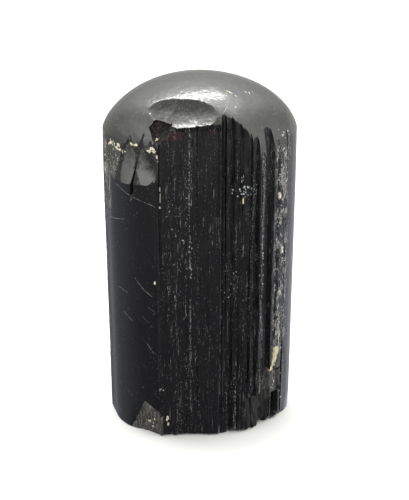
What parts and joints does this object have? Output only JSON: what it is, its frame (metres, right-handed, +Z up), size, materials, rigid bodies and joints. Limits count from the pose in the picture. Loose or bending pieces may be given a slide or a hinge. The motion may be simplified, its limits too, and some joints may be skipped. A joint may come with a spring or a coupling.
{
  "type": "tourmaline crystal",
  "caption": "Black tourmaline crystal: an upright grooved column with a flat sawn base and a ground and polished dome on top.",
  "frame": {"origin": "middle of the crystal's bounding box, on the plane that its sawn base stands on", "axes": "+Z up along the crystal's length, the side with the deep groove facing -Y, +X to the right as seen from that side"},
  "size_m": [0.0534, 0.0432, 0.0987],
  "materials": {
    "schorl": "black, polished to a gloss on the dome and satin with fine upright grooves on the natural sides"
  },
  "bodies": {
    "root": {"tourmaline_crystal": "schorl"}
  },
  "joints": []
}
